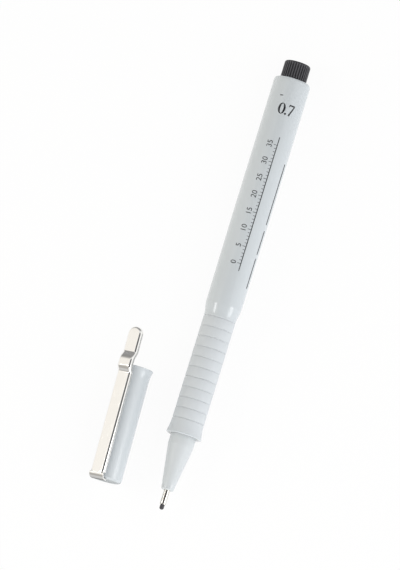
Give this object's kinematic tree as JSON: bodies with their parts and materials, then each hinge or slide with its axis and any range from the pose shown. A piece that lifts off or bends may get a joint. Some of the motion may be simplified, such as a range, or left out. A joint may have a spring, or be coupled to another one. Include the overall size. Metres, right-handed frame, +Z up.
{
  "type": "fineliner pen",
  "caption": "Fineliner pen with a ringed grip, tapered nose, metal-sleeved fibre nib and fluted tail plug, lying beside its taken-off cap with a sprung metal clip.",
  "frame": {"origin": "on the table, under the middle of the box round the pen and its cap", "axes": "+Z up from the table, +Y along the pen from nib to tail, +X to the pen's right, away from the cap"},
  "size_m": [0.0288, 0.1318, 0.0121],
  "materials": {
    "barrel_plastic": "pale cool grey polypropylene, glossy body and fine matt grip",
    "nose_plastic": "pale cool grey polypropylene, glossy",
    "tube_steel": "bright drawn steel",
    "nib_fibre": "ink-soaked bonded fibre",
    "filler_fibre": "ink-soaked fibre",
    "wrap_film": "clear thin film",
    "plug_plastic": "black moulded plastic, fluted",
    "cap_plastic": "pale cool grey polypropylene, glossy",
    "liner_plastic": "natural polyethylene",
    "clip_steel": "bright nickel-plated spring steel"
  },
  "bodies": {
    "pen": {"barrel": "barrel_plastic", "nose_cone": "nose_plastic", "tip_tube": "tube_steel", "nib": "nib_fibre", "ink_reservoir": "filler_fibre", "reservoir_wrap": "wrap_film", "tail_plug": "plug_plastic"},
    "cap": {"cap_shell": "cap_plastic", "inner_cap": "liner_plastic", "clip_hook": "clip_steel"},
    "clip": {"clip_arm": "clip_steel"}
  },
  "joints": [
    {"name": "cap_pull", "type": "slide", "parent": "pen", "child": "cap", "axis": [0.0323, -0.9995, 0], "range_m": [0, 0.037]},
    {"name": "clip_flex", "type": "hinge", "parent": "cap", "child": "clip", "pos_m": [-0.01091, -0.06164, 0.00965], "axis": [0.8827, 0.0211, 0.4694], "range_deg": [0, 5], "stiffness_Nm_per_rad": 0.2}
  ]
}
